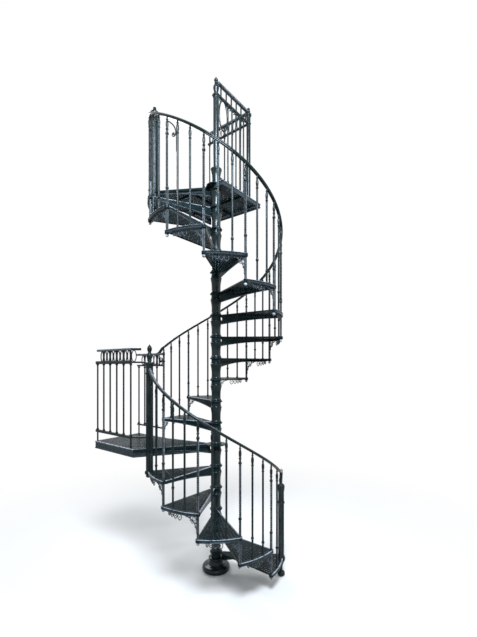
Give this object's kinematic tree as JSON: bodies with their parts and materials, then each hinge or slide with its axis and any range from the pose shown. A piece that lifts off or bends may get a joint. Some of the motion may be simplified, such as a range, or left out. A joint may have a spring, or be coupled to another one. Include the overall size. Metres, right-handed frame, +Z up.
{
  "type": "spiral staircase",
  "caption": "Cast iron spiral staircase with pierced treads on a sleeved column, a middle landing, a top landing, spiral handrails and barred guards.",
  "frame": {"origin": "column axis at the underside of the base flange, on the paving", "axes": "+Z up along the column; +Y square to the wall that both landings reach; +X along that wall, to the right when facing it"},
  "size_m": [1.4228, 1.872, 5.2662],
  "materials": {
    "step_paint": "worn satin paint",
    "rail_paint": "gloss",
    "column_paint": "semi-gloss",
    "railing_paint": "gloss"
  },
  "bodies": {
    "root": {"base_flange": "column_paint", "centre_pole": "column_paint", "column_newel": "railing_paint", "corner_newel": "railing_paint", "landing_guard": "railing_paint", "landing_guard_return": "railing_paint", "landing_newel": "railing_paint", "landing_side_guard": "railing_paint", "lower_balusters": "railing_paint", "lower_corner_bars": "railing_paint", "lower_handrail": "rail_paint", "lower_sleeves": "column_paint", "middle_landing": "step_paint", "start_newel": "railing_paint", "top_front_guard": "railing_paint", "top_landing": "step_paint", "top_side_guard": "railing_paint", "tread_01": "step_paint", "tread_02": "step_paint", "tread_03": "step_paint", "tread_04": "step_paint", "tread_05": "step_paint", "tread_06": "step_paint", "tread_07": "step_paint", "tread_08": "step_paint", "tread_09": "step_paint", "tread_10": "step_paint", "tread_11": "step_paint", "tread_12": "step_paint", "tread_13": "step_paint", "tread_14": "step_paint", "tread_15": "step_paint", "tread_16": "step_paint", "upper_balusters": "railing_paint", "upper_corner_bars": "railing_paint", "upper_end_newel": "railing_paint", "upper_handrail": "rail_paint", "upper_sleeves": "column_paint"}
  },
  "joints": []
}
